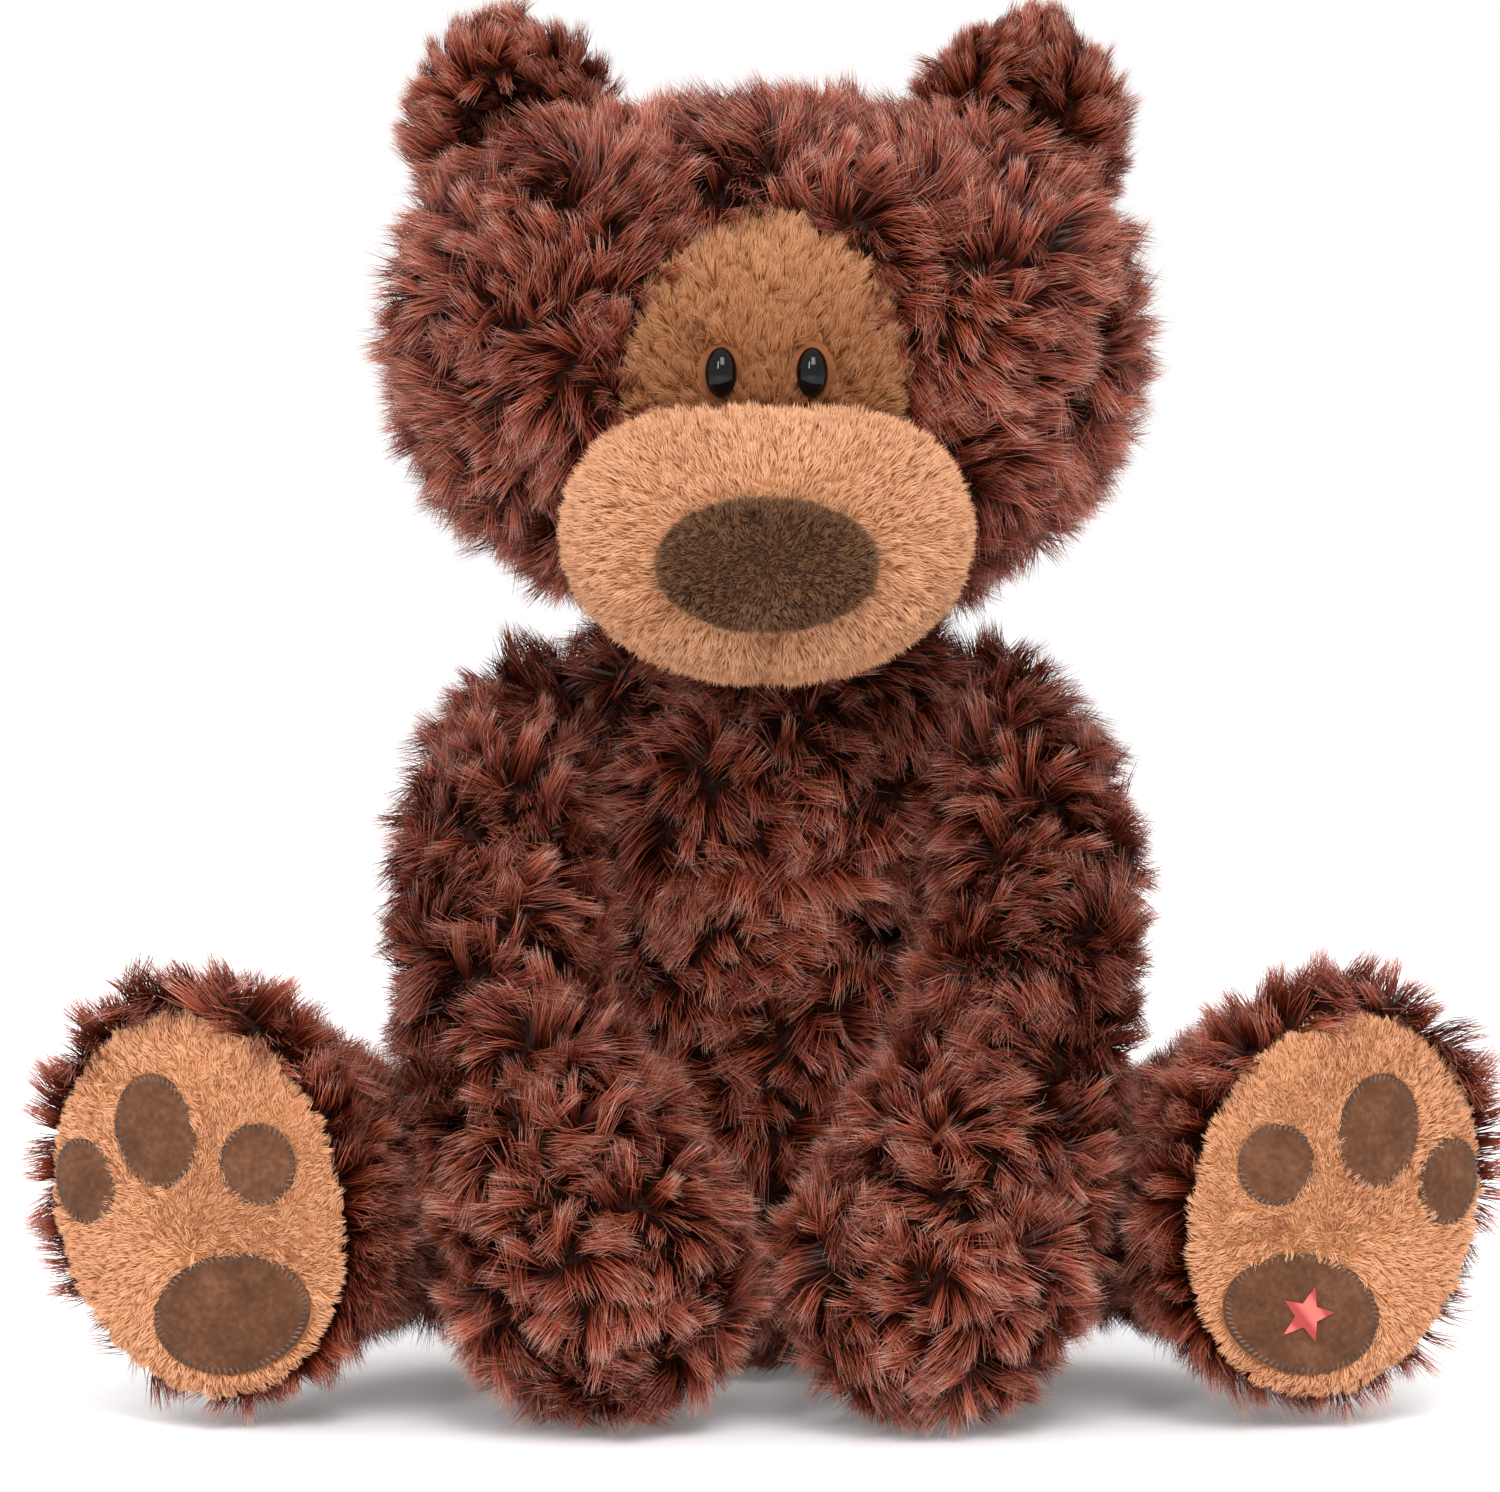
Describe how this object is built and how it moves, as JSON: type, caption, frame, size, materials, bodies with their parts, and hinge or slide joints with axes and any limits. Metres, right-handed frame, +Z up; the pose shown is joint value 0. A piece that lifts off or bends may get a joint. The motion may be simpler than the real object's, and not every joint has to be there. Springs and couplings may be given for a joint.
{
  "type": "jointed teddy bear",
  "caption": "Seated plush bear with curly long pile, a broad short-pile muzzle and soles, and disc joints at neck, shoulders and hips.",
  "frame": {"origin": "middle of the flat seat face, on the surface that the bear sits on", "axes": "+Z up, -Y the way the bear faces, +X the bear's left; the left and right joints' axes lie along X"},
  "size_m": [0.3574, 0.214, 0.3397],
  "materials": {
    "brown_long_pile": "matte",
    "tan_face_pile": "matte",
    "tan_muzzle_pile": "matte",
    "dark_nose_pile": "matte",
    "tan_sole_pile": "matte",
    "brown_pad_suede": "matte",
    "red_thread": "satin",
    "eye_plastic": "gloss",
    "fibre_stuffing": "matte",
    "pouch_cloth": "matte",
    "hardboard": "matte",
    "washer_plastic": "matte",
    "zinc_steel": "satin"
  },
  "bodies": {
    "torso": {"left_hip_torso_disc": "hardboard", "left_shoulder_torso_disc": "hardboard", "neck_torso_disc": "hardboard", "pellet_pouch": "pouch_cloth", "right_hip_torso_disc": "hardboard", "right_shoulder_torso_disc": "hardboard", "torso_cover": "brown_long_pile", "torso_stuffing": "fibre_stuffing"},
    "head": {"eye_washers": "washer_plastic", "face_patch": "tan_face_pile", "head_cover": "brown_long_pile", "head_stuffing": "fibre_stuffing", "left_ear_back": "brown_long_pile", "left_ear_front": "brown_long_pile", "left_eye": "eye_plastic", "muzzle_cover": "tan_muzzle_pile", "neck_bolt": "zinc_steel", "neck_locknut": "zinc_steel", "neck_outer_disc": "hardboard", "neck_washers": "zinc_steel", "nose": "dark_nose_pile", "right_ear_back": "brown_long_pile", "right_ear_front": "brown_long_pile", "right_eye": "eye_plastic"},
    "left_arm": {"left_arm_cover": "brown_long_pile", "left_arm_stuffing": "fibre_stuffing", "left_shoulder_bolt": "zinc_steel", "left_shoulder_locknut": "zinc_steel", "left_shoulder_outer_disc": "hardboard", "left_shoulder_washers": "zinc_steel"},
    "right_arm": {"right_arm_cover": "brown_long_pile", "right_arm_stuffing": "fibre_stuffing", "right_shoulder_bolt": "zinc_steel", "right_shoulder_locknut": "zinc_steel", "right_shoulder_outer_disc": "hardboard", "right_shoulder_washers": "zinc_steel"},
    "left_leg": {"left_heel_pad": "brown_pad_suede", "left_heel_star": "red_thread", "left_hip_bolt": "zinc_steel", "left_hip_locknut": "zinc_steel", "left_hip_outer_disc": "hardboard", "left_hip_washers": "zinc_steel", "left_inner_toe_pad": "brown_pad_suede", "left_leg_cover": "brown_long_pile", "left_leg_stuffing": "fibre_stuffing", "left_middle_toe_pad": "brown_pad_suede", "left_outer_toe_pad": "brown_pad_suede", "left_sole": "tan_sole_pile"},
    "right_leg": {"right_heel_pad": "brown_pad_suede", "right_hip_bolt": "zinc_steel", "right_hip_locknut": "zinc_steel", "right_hip_outer_disc": "hardboard", "right_hip_washers": "zinc_steel", "right_inner_toe_pad": "brown_pad_suede", "right_leg_cover": "brown_long_pile", "right_leg_stuffing": "fibre_stuffing", "right_middle_toe_pad": "brown_pad_suede", "right_outer_toe_pad": "brown_pad_suede", "right_sole": "tan_sole_pile"}
  },
  "joints": [
    {"name": "neck", "type": "hinge", "parent": "torso", "child": "head", "pos_m": [0, 0, 0.19625], "axis": [0, 0, 1], "range_deg": [-30, 30]},
    {"name": "left_shoulder", "type": "hinge", "parent": "torso", "child": "left_arm", "pos_m": [0.04025, 0, 0.16], "axis": [-1, 0, 0], "range_deg": [0, 30]},
    {"name": "right_shoulder", "type": "hinge", "parent": "torso", "child": "right_arm", "pos_m": [-0.04025, 0, 0.16], "axis": [-1, 0, 0], "range_deg": [0, 30]},
    {"name": "left_hip", "type": "hinge", "parent": "torso", "child": "left_leg", "pos_m": [0.05425, 0, 0.044], "axis": [1, 0, 0], "range_deg": [0, 90]},
    {"name": "right_hip", "type": "hinge", "parent": "torso", "child": "right_leg", "pos_m": [-0.05425, 0, 0.044], "axis": [1, 0, 0], "range_deg": [0, 90]}
  ]
}
